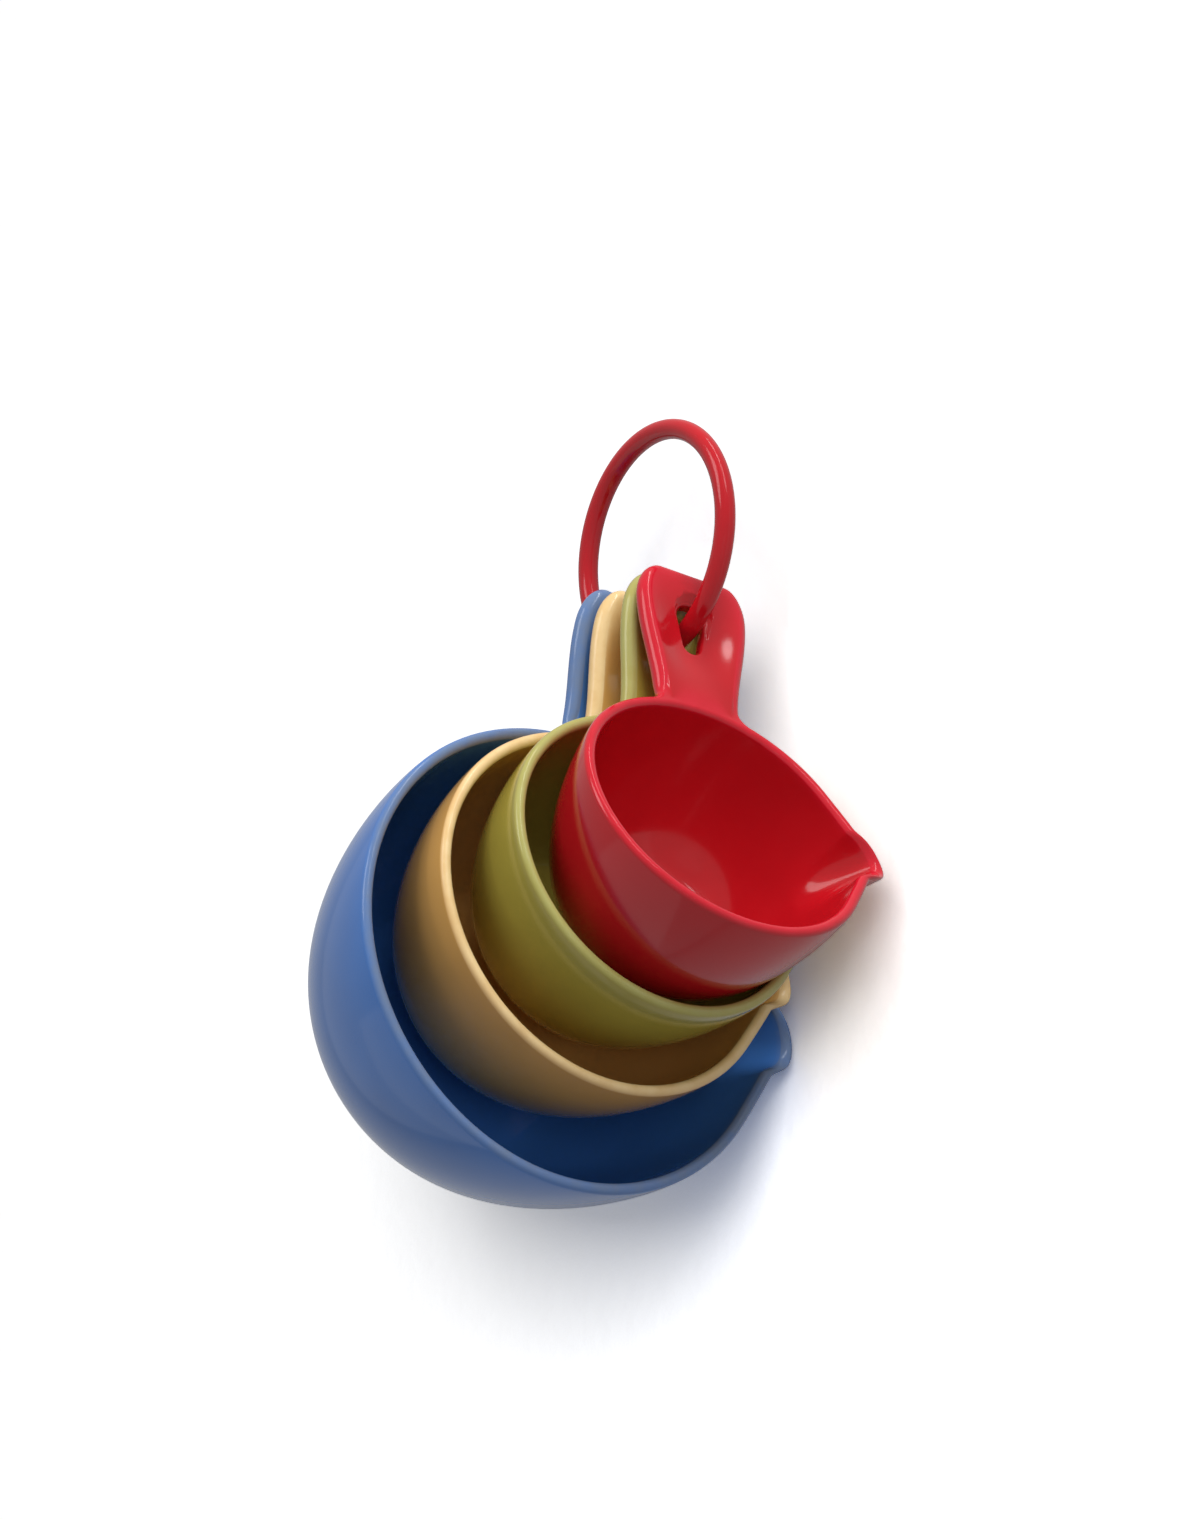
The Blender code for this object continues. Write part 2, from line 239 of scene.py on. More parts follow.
@dataclass(frozen=True)
class TeardropHole:
    """The hole that the ring runs through: round at the outer end, narrow towards the bowl."""

    end_radius: float = 3.1
    tip_radius: float = 2.0
    length: float = 11.8
    end_from_rim: float = 25.4
    edge_radius: float = 0.8

    def outline(self, grow: float, steps: int) -> tuple[np.ndarray, np.ndarray]:
        """Two arcs joined by their tangents.

        Args:
            grow: How much larger the outline is all round.
            steps: Steps along the larger arc.

        Returns:
            The points' distances along the handle from the rim, and across it.
        """
        end = self.end_from_rim - self.end_radius
        tip = self.end_from_rim - self.length + self.tip_radius
        lean = math.asin((self.end_radius - self.tip_radius) / (end - tip))
        wide = np.linspace(-math.pi / 2 - lean, math.pi / 2 + lean, steps)
        slim = np.linspace(math.pi / 2 + lean, 1.5 * math.pi - lean, steps // 2)
        end_radius, tip_radius = self.end_radius + grow, self.tip_radius + grow
        along = np.r_[end + end_radius * np.cos(wide), tip + tip_radius * np.cos(slim)]
        across = np.r_[end_radius * np.sin(wide), tip_radius * np.sin(slim)]
        return along, across


@dataclass(frozen=True)
class Gloss:
    """One colour of glossy moulded plastic.

    Attributes:
        name: Name of the material.
        colour: Base colour, linear.
        sheen_colour: Paler colour painted on the thin lips and rounded edges as sheen, linear.
        roughness: Roughness of the clean surface.
        scuff: How much rougher the handled places are.
        peel: Height of the moulded unevenness, in metres.
        peel_strength: Share of that height that shows.
        ior: Index of refraction of the plastic.
        coat: Share of the surface with a clear skin.
        coat_roughness: Roughness of that skin.
    """

    name: str
    colour: tuple[float, float, float]
    sheen_colour: tuple[float, float, float]
    roughness: float = 0.12
    scuff: float = 0.07
    peel: float = 0.00002
    peel_strength: float = 0.5
    ior: float = 1.42
    coat: float = 0.12
    coat_roughness: float = 0.04


class MouldedSurface:
    """The node group that all the finishes share: mottling, scuffs, painted sheen on the edges and moulded
    unevenness.

    Scales are in cells per metre.
    """

    NAME = "moulded_surface"
    CLOUD_SCALE = 38.0
    CLOUD_TINT = (0.55, 0.5, 0.52, 1.0)
    SHEEN_BREAKUP_SCALE = 210.0
    SCUFF_TILT = (0.4, 0.7)
    SCUFF_LINES = ((0.5, (26.0, 1500.0, 60.0)), (2.2, (1300.0, 30.0, 45.0)))
    SCUFF_DEPTH = 0.06
    HANDLED_SCALE = 55.0
    HANDLED_SHARE = 0.3
    WAVE_SCALE = 120.0
    GRAIN_SCALE = 1400.0
    GRAIN_HEIGHT = 0.05

    def __init__(self) -> None:
        """Builds the group once."""
        self.tree = bpy.data.node_groups.new(self.NAME, "ShaderNodeTree")
        for name, kind in (
            ("Vector", "NodeSocketVector"),
            ("Colour", "NodeSocketColor"),
            ("Sheen Colour", "NodeSocketColor"),
            ("Edge", "NodeSocketFloat"),
            ("Roughness", "NodeSocketFloat"),
            ("Scuff", "NodeSocketFloat"),
        ):
            self.tree.interface.new_socket(name, in_out="INPUT", socket_type=kind)
        for name, kind in (
            ("Colour", "NodeSocketColor"),
            ("Roughness", "NodeSocketFloat"),
            ("Height", "NodeSocketFloat"),
        ):
            self.tree.interface.new_socket(name, in_out="OUTPUT", socket_type=kind)
        self._wire()

    def _node(self, kind: str, **values: object) -> bpy.types.Node:
        """Adds a node and sets its plain properties.

        Args:
            kind: Blender's name of the node type.
            **values: The properties and what they are set to.

        Returns:
            The node.
        """
        node = self.tree.nodes.new(kind)
        for name, value in values.items():
            setattr(node, name, value)
        return node

    def _noise(self, vector: bpy.types.NodeSocket, scale: float, detail: float) -> bpy.types.NodeSocket:
        """Adds a noise.

        Args:
            vector: Where it is read.
            scale: Cells per metre.
            detail: How many finer layers lie on it.

        Returns:
            The socket with its value.
        """
        noise = self._node("ShaderNodeTexNoise")
        noise.inputs["Scale"].default_value = scale
        noise.inputs["Detail"].default_value = detail
        self.tree.links.new(vector, noise.inputs["Vector"])
        return noise.outputs["Fac"]

    def _range(
        self, value: bpy.types.NodeSocket, source: tuple[float, float], target: tuple[float, float]
    ) -> bpy.types.NodeSocket:
        """Carries a value smoothly from one range to another, and stops at its ends.

        Args:
            value: The value.
            source: Ends of its range.
            target: What they become.

        Returns:
            The socket with the new value.
        """
        node = self._node("ShaderNodeMapRange", interpolation_type="SMOOTHSTEP")
        for name, number in zip(("From Min", "From Max", "To Min", "To Max"), (*source, *target)):
            node.inputs[name].default_value = number
        self.tree.links.new(value, node.inputs["Value"])
        return node.outputs["Result"]

    def _math(self, operation: str, first: NumberInput, second: NumberInput) -> bpy.types.NodeSocket:
        """Joins two values.

        Args:
            operation: Blender's name of the operation.
            first: A socket or a number.
            second: A socket or a number.

        Returns:
            The socket with the result.
        """
        node = self._node("ShaderNodeMath", operation=operation)
        for socket, value in zip(node.inputs, (first, second)):
            if isinstance(value, (int, float)):
                socket.default_value = value
            else:
                self.tree.links.new(value, socket)
        return node.outputs["Value"]

    def _mix(
        self, factor: bpy.types.NodeSocket, first: ColourInput, second: ColourInput, blend: str
    ) -> bpy.types.NodeSocket:
        """Mixes two colours. A Mix node has its colours at inputs 6 and 7 and gives them at output 2.

        Args:
            factor: Share of the second.
            first: A socket or a colour.
            second: A socket or a colour.
            blend: Blender's name of the way they mix.

        Returns:
            The socket with the result.
        """
        node = self._node("ShaderNodeMix", data_type="RGBA", blend_type=blend)
        self.tree.links.new(factor, node.inputs[0])
        for socket, value in zip((node.inputs[6], node.inputs[7]), (first, second)):
            if isinstance(value, tuple):
                socket.default_value = value
            else:
                self.tree.links.new(value, socket)
        return node.outputs[2]

    def _wire(self) -> None:
        """Joins the nodes of the group."""
        given = self._node("NodeGroupInput").outputs
        out = self._node("NodeGroupOutput").inputs
        vector = given["Vector"]

        # Pigment flows unevenly in the mould: broad soft clouds, a tenth darker at most.
        cloud = self._range(self._noise(vector, self.CLOUD_SCALE, 3.0), (0.35, 0.7), (0.0, 0.22))
        colour = self._mix(cloud, given["Colour"], self.CLOUD_TINT, "MULTIPLY")

        # Painted sheen: thin lips and the fronts of rounded edges are painted paler, as if they caught the
        # light, broken up by noise.
        breakup = self._range(self._noise(vector, self.SHEEN_BREAKUP_SCALE, 4.0), (0.25, 0.7), (0.65, 1.0))
        sheen_share = self._math("MULTIPLY", given["Edge"], breakup)
        colour = self._mix(sheen_share, colour, given["Sheen Colour"], "MIX")

        # Hairline scuffs: noise drawn out in two directions, kept only where it peaks.
        scuffs = 0.0
        for turn, stretch in self.SCUFF_LINES:
            mapping = self._node("ShaderNodeMapping")
            mapping.inputs["Rotation"].default_value = (*self.SCUFF_TILT, turn)
            mapping.inputs["Scale"].default_value = stretch
            self.tree.links.new(vector, mapping.inputs["Vector"])
            line = self._range(self._noise(mapping.outputs["Vector"], 1.0, 2.0), (0.64, 0.74), (0.0, 1.0))
            scuffs = self._math("MAXIMUM", scuffs, line)
        handled = self._range(self._noise(vector, self.HANDLED_SCALE, 2.0), (0.42, 0.66), (0.15, 1.0))
        scuffs = self._math("MULTIPLY", scuffs, handled)

        dulled = self._math("ADD", self._math("MULTIPLY", handled, self.HANDLED_SHARE), scuffs)
        rough = self._math("ADD", self._math("MULTIPLY", dulled, given["Scuff"]), given["Roughness"])

        # Moulded skin: long low waves, with a finer grain on them and the scuffs cut in.
        wave = self._noise(vector, self.WAVE_SCALE, 1.0)
        grain = self._math("MULTIPLY", self._noise(vector, self.GRAIN_SCALE, 2.0), self.GRAIN_HEIGHT)
        cuts = self._math("MULTIPLY", scuffs, self.SCUFF_DEPTH)
        height = self._math("SUBTRACT", self._math("ADD", wave, grain), cuts)

        self.tree.links.new(colour, out["Colour"])
        self.tree.links.new(rough, out["Roughness"])
        self.tree.links.new(height, out["Height"])


def moulded_plastic(gloss: Gloss, surface: MouldedSurface) -> bpy.types.Material:
    """Makes the material of one finish.

    Args:
        gloss: The finish.
        surface: The shared node group.

    Returns:
        A material that reads Object coordinates and the painted sheen layer of its mesh.
    """
    material = bpy.data.materials.new(gloss.name)
    material.use_nodes = True
    nodes, links = material.node_tree.nodes, material.node_tree.links
    shader = nodes["Principled BSDF"]
    shader.inputs["IOR"].default_value = gloss.ior
    shader.inputs["Coat Weight"].default_value = gloss.coat
    shader.inputs["Coat Roughness"].default_value = gloss.coat_roughness
    group = nodes.new("ShaderNodeGroup")
    group.node_tree = surface.tree
    group.inputs["Colour"].default_value = (*gloss.colour, 1.0)
    group.inputs["Sheen Colour"].default_value = (*gloss.sheen_colour, 1.0)
    group.inputs["Roughness"].default_value = gloss.roughness
    group.inputs["Scuff"].default_value = gloss.scuff
    place = nodes.new("ShaderNodeTexCoord")
    edge = nodes.new("ShaderNodeAttribute")
    edge.attribute_name = EDGE_LAYER
    bump = nodes.new("ShaderNodeBump")
    bump.inputs["Strength"].default_value = gloss.peel_strength
    bump.inputs["Distance"].default_value = gloss.peel
    links.new(place.outputs["Object"], group.inputs["Vector"])
    links.new(edge.outputs["Fac"], group.inputs["Edge"])
    links.new(group.outputs["Colour"], shader.inputs["Base Color"])
    links.new(group.outputs["Roughness"], shader.inputs["Roughness"])
    links.new(group.outputs["Height"], bump.inputs["Height"])
    links.new(bump.outputs["Normal"], shader.inputs["Normal"])
    return material


@dataclass(frozen=True)
class HangingRing:
    """The split wire ring that carries the cups, in the XZ plane."""

    outer_diameter: float = 51.6
    wire_diameter: float = 4.2
    split_gap: float = 0.4
    split_angle: float = -14.75
    end_rounding: float = 0.5
    # Share of painted sheen all over the wire, which is painted slightly paler everywhere.
    painted_sheen: float = 0.12
    steps: int = 320
    end_steps: int = 6
    wire_steps: int = 36

    @property
    def wire_radius(self) -> float:
        """Radius of the wire."""
        return self.wire_diameter / 2

    @property
    def radius(self) -> float:
        """Radius of the wire's middle line."""
        return self.outer_diameter / 2 - self.wire_radius

    @property
    def centre(self) -> np.ndarray:
        """Centre of the ring, below the origin by its inner radius."""
        return np.array([0.0, 0.0, -(self.radius - self.wire_radius)])

    def point(self, angle: float) -> np.ndarray:
        """A point of the wire's middle line, at an angle in radians from straight below towards +X."""
        return self.centre + self.radius * np.array([math.sin(angle), 0.0, -math.cos(angle)])

    def build(self, gloss: Gloss, surface: MouldedSurface) -> bpy.types.Object:
        """Sweeps a circle about the Y axis, from one side of the split to the other, with rounded ends.

        Args:
            gloss: Finish of the ring.
            surface: Node group of the finish.

        Returns:
            The ring, riding on its body in place of its solid.
        """
        split, half_gap = math.radians(self.split_angle), self.split_gap / 2 / self.radius
        start, stop = split + half_gap, split + 2.0 * math.pi - half_gap
        quarter = np.linspace(0.0, math.pi / 2, self.end_steps + 1)[:-1]
        ahead = self.end_rounding / self.radius * (1.0 - np.cos(quarter))
        inset = self.end_rounding * (1.0 - np.sin(quarter))
        middle = np.linspace(start, stop, self.steps + 1)[2:-2]
        turn = np.r_[start + ahead, middle, stop - ahead[::-1]][:, None]
        section = (self.wire_radius - np.r_[inset, np.zeros(len(middle)), inset[::-1]])[:, None]
        wire = np.linspace(0.0, 2.0 * math.pi, self.wire_steps, endpoint=False)
        radius = self.radius + section * np.cos(wire)
        rows = np.stack([np.sin(turn) * radius, section * np.sin(wire), -np.cos(turn) * radius], axis=-1)
        # The whole wire gets the same share of painted sheen.
        mesh = grid_mesh("ring_wire", rows + self.centre, np.full(rows.shape[:2], self.painted_sheen))
        mesh.materials.append(moulded_plastic(gloss, surface))
        obj = link_mesh("ring_wire", mesh)
        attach(obj, Body.RING.value)
        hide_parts("hanging_ring")
        return obj


@dataclass(frozen=True)
class Cup:
    """One cup: bowl, spout, lip and handle as a single shell, and how it hangs on the ring.

    Attributes:
        body: Body that the cup rides on.
        gloss: Its finish.
        rim_radius: Outer radius of the rim.
        depth: Outer depth.
        base_radius: Outer radius of the flat base.
        spout_reach: How far the beak stands out of the rim.
        spout_width: Width of the beak at the rim.
        ring_angle: Where it hangs on the ring, from straight below towards +X.
        tilt: How far its mouth looks up.
        spin: Turn about the axis of the cup, of the handle towards +Y.
        wire_seat: Where the wire passes through the handle, from the rim.
        wall: Thickness of the wall.
        base_thickness: Thickness of the base.
        taper: Power of the superellipse of the wall.
        spout_depth: How far down the wall the spout fades out.
        spout_droop: How far the beak bends down.
        spout_flank: Share of the reach at which the flanks would meet.
        spout_blunt: Rounding where they meet, as a share of their angle.
        beak_flat: Power of the angle in the bell of the beak.
        beak_steep: Power of the bell.
        spout_fade: Power of the spout's fading.
        sheen_depth: How far the painted sheen of the lip reaches down the inner wall.
        front_sheen: Power of the painted sheen towards the ridge of the handle.
        front_fade: Share of the handle's front over which the painted sheen of the lip fades.
        back_join: Power by which the back of the handle runs down into the wall.
        root_blend: Share of the handle's growth within which its back leaves the wall.
        row_gap: Least height between the handle's root and the next row of the outer wall.
        floor_centre: Share of the floor's radius at its innermost row.
        handle: The handle.
        hole: Its hole.
        fine: Steps of the shell.
    """

    body: Body
    gloss: Gloss
    rim_radius: float
    depth: float
    base_radius: float
    spout_reach: float
    spout_width: float
    ring_angle: float
    tilt: float
    spin: float
    wire_seat: float
    wall: float = 2.3
    base_thickness: float = 3.0
    taper: float = 1.2
    spout_depth: float = 17.0
    spout_droop: float = 2.2
    spout_flank: float = 0.55
    spout_blunt: float = 0.2
    beak_flat: float = 2.4
    beak_steep: float = 1.8
    spout_fade: float = 1.5
    sheen_depth: float = 3.0
    front_sheen: float = 6.0
    front_fade: float = 0.2
    back_join: float = 3.0
    root_blend: float = 0.5
    row_gap: float = 0.4
    floor_centre: float = 0.04
    handle: Handle = field(default_factory=Handle)
    hole: TeardropHole = field(default_factory=TeardropHole)
    fine: Fineness = field(default_factory=Fineness)

    @property
    def name(self) -> str:
        """Name of the cup, and of its solid."""
        return f"{self.body.value}_cup"

    @property
    def lip(self) -> float:
        """Radius of the rounded lip."""
        return self.wall / 2

    def wall_rows(self, rim: float, depth: float, base: float, rows: int) -> tuple[np.ndarray, np.ndarray]:
        """Follows a wall down: a quarter of a superellipse, from below the lip to the edge of the base.

        Args:
            rim: Radius at the rim.
            depth: Depth at the base.
            base: Radius of the base.
            rows: How many rows.

        Returns:
            Radius and height of every row.
        """
        turn = np.linspace(0.0, math.pi / 2, rows)
        radius = base + (rim - base) * np.cos(turn) ** self.taper
        height = -self.lip - (depth - self.lip) * np.sin(turn) ** self.taper
        radius[-1] = base
        return radius, height

    def slope(self, x: np.ndarray) -> np.ndarray:
        """Height of the sloping plane that carries the handle's edge."""
        return np.clip(x - self.rim_radius + self.lip, 0.0, None) * math.tan(self.handle.rise)

    def columns(self) -> tuple[np.ndarray, np.ndarray, np.ndarray]:
        """Spaces the columns once round the rim, closer set at the handle and the spout.

        Returns:
            The angle, the point of the edge and the outward direction of every column.
        """
        fine, handle = self.fine, self.handle
        points, outward = handle.outline(self.rim_radius, fine)
        mirror = np.array([1.0, -1.0])
        length = np.r_[0.0, np.cumsum(np.linalg.norm(np.diff(points, axis=0), axis=1))]
        root = math.atan2(points[0, 1], points[0, 0])
        neck = math.asin((handle.neck_width / 2 - handle.edge) / self.rim_radius)
        turn = np.interp(length, [0.0, length[fine.fillet], length[-1]], [root, neck, 0.0])
        # The spout stands three quarters of the way round.
        spout, half = 1.5 * math.pi, math.asin(self.spout_width / 2 / self.rim_radius)
        before = np.linspace(root, spout - half, fine.plain * 3 // 4 + 1)[1:]
        within = np.linspace(spout - half, spout + half, fine.spout + 1)[1:]
        after = np.linspace(spout + half, 2.0 * math.pi - root, fine.plain // 4 + 1)[1:-1]
        bowl = np.r_[before, within, after]
        bowl_outward = np.c_[np.cos(bowl), np.sin(bowl)]
        return (
            np.r_[-turn[:-1], turn[::-1], bowl],
            np.vstack([points[:-1] * mirror, points[::-1], bowl_outward * self.rim_radius]),
            np.vstack([outward[:-1] * mirror, outward[::-1], bowl_outward]),
        )

    def spout_shift(self, skin: np.ndarray) -> np.ndarray:
        """Pushes the wall out over the spout and bends the lip of its beak down, both fading down the wall.

        The flanks are the tangents from a point outside the rim, rounded where they meet. The beak is a bell
        between them: one less a power of the angle off the spout, itself raised to a power.

        Args:
            skin: Points in the cup's own frame.

        Returns:
            The points, shifted.
        """
        x, y, z = skin[..., 0], skin[..., 1], skin[..., 2]
        off = np.abs(np.arctan2(-x, -y))
        flank_reach = self.spout_reach * self.spout_flank
        flank = math.acos(self.rim_radius / (self.rim_radius + flank_reach))
        blunt = np.hypot(off, self.spout_blunt * flank)
        flanks = self.rim_radius / np.cos(np.clip(flank - blunt, 0.0, None)) - self.rim_radius
        half = math.asin(self.spout_width / 2 / self.rim_radius)
        bell = (1.0 - np.clip(off / half, 0.0, 1.0) ** self.beak_flat) ** self.beak_steep
        fade = np.clip(1.0 + z / self.spout_depth, 0.0, 1.0)
        push = (flanks + (self.spout_reach - flank_reach) * bell) * fade**self.spout_fade
        share = 1.0 + push / np.maximum(np.hypot(x, y), 1.0)
        return np.stack([x * share, y * share, z - self.spout_droop * bell**2 * fade], axis=-1)

    def skin(self) -> tuple[np.ndarray, np.ndarray]:
        """Lays rows over the whole shell, from the floor of the bowl over lip and handle to the base.

        In the cup's own frame the rim is in the XY plane, the mouth towards +Z, the handle along +X and the
        spout towards -Y. Away from the handle the rows of its front fall together on the lip.

        Returns:
            Points in that frame, rows by columns by 3, and the share of painted sheen at each point.
        """
        fine, handle, lip = self.fine, self.handle, self.lip
        turn, edge, outward = self.columns()
        radial = np.c_[np.cos(turn), np.sin(turn)]
        reach = np.linalg.norm(edge - radial * self.rim_radius, axis=1)
        grown = ease(reach, 0.0, 2.0 * handle.root_radius)
        bead = lip + (handle.edge - lip) * grown
        rows: list[np.ndarray] = []
        painted_sheen: list[np.ndarray] = []

        def add(plan: np.ndarray, height: np.ndarray | float, sheen_share: np.ndarray | float) -> None:
            """Adds one row."""
            rows.append(np.c_[plan, np.broadcast_to(height, len(turn))])
            painted_sheen.append(np.broadcast_to(sheen_share, len(turn)))

        # Floor, inner wall and the inner half of the lip.
        floor_radius = self.base_radius - self.wall / 2
        radius, height = self.wall_rows(
            self.rim_radius - self.wall, self.depth - self.base_thickness, floor_radius, fine.inner + 1
        )
        for share in np.linspace(self.floor_centre, 1.0, fine.floor, endpoint=False):
            add(radial * floor_radius * share, height[-1], 0.0)
        for row_radius, row_height in zip(radius[::-1], height[::-1]):
            # Painted sheen: full on the lip, fading out down the top of the inner wall.
            sheen_share = float(np.clip(1.0 + row_height / self.sheen_depth, 0.0, 1.0)) ** 2
            add(radial * row_radius, row_height, sheen_share)
        for angle in np.linspace(math.pi, math.pi / 2, fine.lip + 1)[1:]:
            add(radial * (self.rim_radius - lip + lip * math.cos(angle)), lip * math.sin(angle) - lip, 1.0)

        # Dished front of the handle.
        lip_top = radial * (self.rim_radius - lip)
        ridge = edge - outward * bead[:, None]
        for share in np.linspace(0.0, 1.0, fine.front + 1)[1:]:
            plan = lip_top + (ridge - lip_top) * share
            hollow = handle.hollow(self.rim_radius, plan[:, 0], plan[:, 1])
            # Painted sheen: full at the lip and at the ridge, none over the middle of the dish.
            sheen_share = 1.0 - grown * (1.0 - share**self.front_sheen) * ease(np.array(share), 0.0, self.front_fade)
            add(plan, (self.slope(plan[:, 0]) - handle.dish * hollow) * grown, sheen_share)

        # Rounded edge of the handle, and the outer half of the lip.
        sweep = math.pi / 2 * (1.0 + grown)
        centre_height = rows[-1][:, 2] - bead
        for share in np.linspace(0.0, 1.0, fine.edge + 1)[1:]:
            angle = math.pi / 2 - sweep * share
            plan = ridge + outward * (bead * np.cos(angle))[:, None]
            # Painted sheen: full at the top of the rounded edge, fading round towards its back.
            add(plan, centre_height + bead * np.sin(angle), 1.0 - share**2)

        # Back of the handle, running into the outer wall.
        underside = handle.edge_depth + lip * 2
        belly = handle.dish + handle.web - handle.edge_depth
        radius, height = self.wall_rows(self.rim_radius, self.depth, self.base_radius, fine.trace)
        under = radial * np.interp(underside, -height, radius)
        start = rows[-1]
        for share in np.linspace(0.0, 1.0, fine.back + 1)[1:]:
            plan = start[:, :2] + (under - start[:, :2]) * share
            hollow = handle.hollow(self.rim_radius, plan[:, 0], plan[:, 1])
            handle_back = self.slope(plan[:, 0]) - handle.edge_depth - belly * hollow
            handle_back = handle_back + (-underside - handle_back) * share**self.back_join
            wall_back = start[:, 2] + (-underside - start[:, 2]) * share
            wall_plan = radial * np.interp(wall_back, height[::-1], radius[::-1])[:, None]
            mixed = wall_plan + (plan - wall_plan) * ease(grown, 0.0, self.root_blend)[:, None]
            add(mixed, wall_back + (handle_back - wall_back) * grown, 0.0)

        # Outer wall and base.
        radius, height = self.wall_rows(self.rim_radius, self.depth, self.base_radius, fine.outer)
        for row_radius, row_height in zip(radius, height):
            if row_height < -underside - self.row_gap:
                add(radial * row_radius, row_height, 0.0)
        for share in np.linspace(1.0, self.floor_centre, fine.floor + 1)[1:]:
            add(radial * self.base_radius * share, -self.depth, 0.0)
        return self.spout_shift(np.array(rows)), np.array(painted_sheen)

    def hole_dish(self) -> float:
        """Finds how deep the dish is at the middle of the hole.

        Returns:
            The depth below the plane of the handle's edge.
        """
        middle = self.hole.end_from_rim - self.hole.length / 2
        at = np.array([self.rim_radius + middle * math.cos(self.handle.rise)])
        return self.handle.dish * float(self.handle.hollow(self.rim_radius, at, np.zeros(1))[0])

    def web_heights(self) -> tuple[float, float]:
        """Finds the faces of the handle's web at the hole.

        Returns:
            Heights of its front and back, square to the handle.
        """
        rise = self.handle.rise
        front = self.lip * math.sin(rise) - self.hole_dish() * math.cos(rise)
        return front, front - self.handle.web

    def cutter_rows(self) -> np.ndarray:
        """Carries the teardrop through the web as a cutting solid, flared by a quarter round at each face.

        Returns:
            Points in the cup's own frame, rows by columns by 3.
        """
        rise, hole, edge = self.handle.rise, self.hole, self.handle.edge
        front, back = self.web_heights()
        quarter = np.linspace(0.0, math.pi / 2, self.fine.flare + 1)
        flare, inside = hole.edge_radius * (1.0 - np.cos(quarter)), hole.edge_radius * np.sin(quarter)
        level = np.r_[back - edge, back + hole.edge_radius - inside[::-1]]
        level = np.r_[level, front - hole.edge_radius + inside, front + edge]
        outer = hole.edge_radius + edge / 2
        rows = []
        for height, grow in zip(level, np.r_[outer, flare[::-1], flare, outer]):
            along, across = hole.outline(grow, self.fine.hole)
            x = self.rim_radius + along * math.cos(rise) - height * math.sin(rise)
            rows.append(np.c_[x, across, along * math.sin(rise) + height * math.cos(rise)])
        return np.array(rows)

    def wire_point(self) -> np.ndarray:
        """Finds where the middle of the wire passes through the handle.

        Returns:
            The point in the cup's own frame.
        """
        rise, height = self.handle.rise, -self.hole_dish() - self.handle.web / 2
        x = self.rim_radius + self.wire_seat * math.cos(rise) - height * math.sin(rise)
        return np.array([x, 0.0, self.wire_seat * math.sin(rise) + height * math.cos(rise)])

    def placed(self, points: np.ndarray, ring: HangingRing) -> np.ndarray:
        """Carries points from the cup's own frame to where it hangs.

        Args:
            points: Points in the cup's own frame.
            ring: The ring that carries the cup.

        Returns:
            The points in the frame of the set.
        """
        tilt, spin, angle = (math.radians(value) for value in (self.tilt, self.spin, self.ring_angle))
        mouth = np.array([math.cos(tilt), 0.0, math.sin(tilt)])
        upward = np.array([-math.sin(tilt), 0.0, math.cos(tilt)])
        handle = math.cos(spin) * upward + math.sin(spin) * np.array([0.0, 1.0, 0.0])
        turn = np.c_[handle, np.cross(mouth, handle), mouth]
        return points @ turn.T + (ring.point(angle) - turn @ self.wire_point())

    def build(self, ring: HangingRing, surface: MouldedSurface) -> bpy.types.Object:
        """Makes the shell, cuts the hole, dresses it and hangs it on its body.

        Args:
            ring: The ring that carries the cup.
            surface: Node group of the finish.

        Returns:
            The finished cup.
        """
        points, painted_sheen = self.skin()
        name = f"{self.name}_shell"
        shell = link_mesh(name, grid_mesh(name, self.placed(points, ring), painted_sheen))
        cutter = link_mesh("hole_cutter", grid_mesh("hole_cutter", self.placed(self.cutter_rows(), ring)))
        cut = shell.modifiers.new("handle_hole", "BOOLEAN")
        cut.operation, cut.solver, cut.object = "DIFFERENCE", "EXACT", cutter
        graph = bpy.context.evaluated_depsgraph_get()
        mesh = bpy.data.meshes.new_from_object(shell.evaluated_get(graph))
        bpy.data.objects.remove(shell, do_unlink=True)
        bpy.data.objects.remove(cutter, do_unlink=True)
        mesh.name = name
        mesh.shade_smooth()
        mesh.materials.clear()
        mesh.materials.append(moulded_plastic(self.gloss, surface))
        obj = link_mesh(name, mesh)
        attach(obj, self.body.value)
        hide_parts(self.name)
        return obj


class Lit(Enum):
    """What a lamp lights: the set, or the wall behind it."""

    SET = "EXCLUDE"
    WALL = "INCLUDE"


@dataclass(frozen=True)
class Lamp:
    """One soft box: where it stands, how large it is, how strong, and whether glossy surfaces mirror it."""

    name: str
    place: tuple[float, float, float]
    width: float
    height: float
    power: float
    mirrored: bool = False
    lights: Lit = Lit.SET


@dataclass(frozen=True)
class Backdrop:
    """How bright a backdrop is: where it lights the set, in mirrors and clear pieces, and to the camera."""

    lighting: float
    mirrored: float
    seen: float

    def socket(self, tree: bpy.types.NodeTree) -> bpy.types.NodeSocket:
        """Picks the brightness by the kind of ray. A Mix node has its numbers at inputs 2 and 3.

        Args:
            tree: Nodes of the material or world.

        Returns:
            The socket with the brightness.
        """
        path = tree.nodes.new("ShaderNodeLightPath").outputs
        mirror = tree.nodes.new("ShaderNodeMath")
        mirror.operation = "MAXIMUM"
        tree.links.new(path["Is Glossy Ray"], mirror.inputs[0])
        tree.links.new(path["Is Transmission Ray"], mirror.inputs[1])
        level = tree.nodes.new("ShaderNodeMix")
        level.inputs[2].default_value = self.lighting
        level.inputs[3].default_value = self.mirrored
        tree.links.new(mirror.outputs[0], level.inputs[0])
        seen = tree.nodes.new("ShaderNodeMix")
        seen.inputs[3].default_value = self.seen
        tree.links.new(path["Is Camera Ray"], seen.inputs[0])
        tree.links.new(level.outputs[0], seen.inputs[2])
        return seen.outputs[0]


